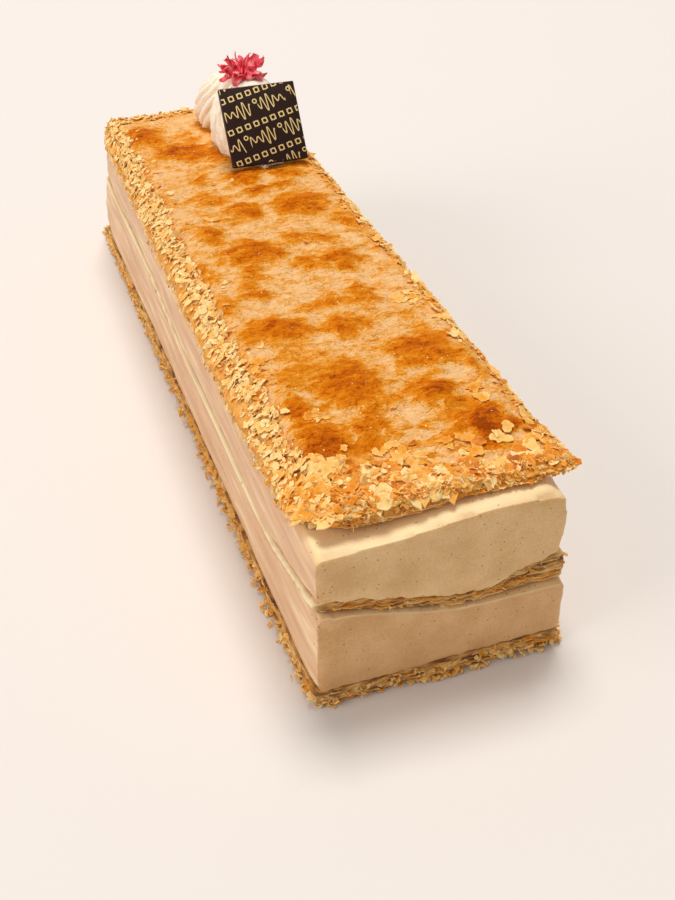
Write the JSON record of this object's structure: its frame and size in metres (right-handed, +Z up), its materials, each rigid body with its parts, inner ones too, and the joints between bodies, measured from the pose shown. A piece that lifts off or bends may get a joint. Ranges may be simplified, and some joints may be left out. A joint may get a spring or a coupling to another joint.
{
  "type": "mille feuille",
  "caption": "Long mille-feuille of puff pastry sheets and vanilla cream under a glazed blistered crust, with a piped cream rosette, petals and a chocolate plaque.",
  "frame": {"origin": "on the table, under the middle of the whole object", "axes": "+Z up; Y along the bar, with the cut front at -Y and the garnish near +Y; +X to the right, seen from the front"},
  "size_m": [0.0964, 0.3726, 0.1176],
  "materials": {
    "puff_pastry": "baked puff pastry, dry and flaky, golden",
    "vanilla_cream": "smooth vanilla pastry cream with fine dark seed specks, slightly moist",
    "glazed_crust": "caramelised sugar glaze over blistered puff pastry, pale tan to amber",
    "whipped_cream": "piped cream, ivory, soft sheen",
    "dried_petal": "dried crimson flower petals, crumpled",
    "dark_chocolate": "dark chocolate with a plain gold pattern printed on its face"
  },
  "bodies": {
    "root": {"bottom_pastry": "puff_pastry", "lower_cream": "vanilla_cream", "middle_pastry": "puff_pastry", "upper_cream": "vanilla_cream", "top_pastry": "glazed_crust", "cream_rosette": "whipped_cream", "petal_garnish": "dried_petal", "chocolate_plaque": "dark_chocolate"}
  },
  "joints": []
}
